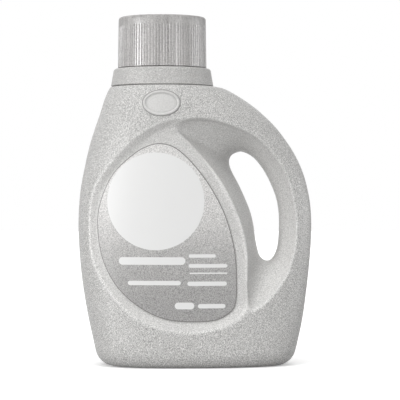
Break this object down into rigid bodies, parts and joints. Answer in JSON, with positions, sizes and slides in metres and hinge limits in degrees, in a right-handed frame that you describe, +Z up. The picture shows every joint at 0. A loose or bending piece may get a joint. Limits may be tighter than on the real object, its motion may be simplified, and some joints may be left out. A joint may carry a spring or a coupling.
{
  "type": "laundry detergent bottle",
  "caption": "Hollow plastic bottle with a moulded through handle, dished front and back panels, a front label, a drain-back pour spout in a plain collar and a ribbed dosing cap.",
  "frame": {"origin": "on the ground, under the middle of the bounding box", "axes": "+Z up along the neck, +X towards the handle, -Y out of the labelled front"},
  "size_m": [0.162, 0.0852, 0.2413],
  "materials": {
    "body_plastic": "light grey pearlescent high-density polyethylene, semi-gloss with a fine speckle",
    "fitment_plastic": "light grey moulded polypropylene, semi-gloss",
    "cap_plastic": "grey moulded polypropylene, semi-gloss",
    "label_film": "printed plastic film, satin, grey that darkens towards its foot, with plain pale shapes"
  },
  "bodies": {
    "bottle_body": {"bottle": "body_plastic", "pour_spout": "fitment_plastic", "front_label": "label_film"},
    "cap_body": {"measuring_cap": "cap_plastic"}
  },
  "joints": [
    {"name": "cap_lift", "type": "slide", "parent": "bottle_body", "child": "cap_body", "axis": [0, 0, 1], "range_m": [0, 0.045]}
  ]
}
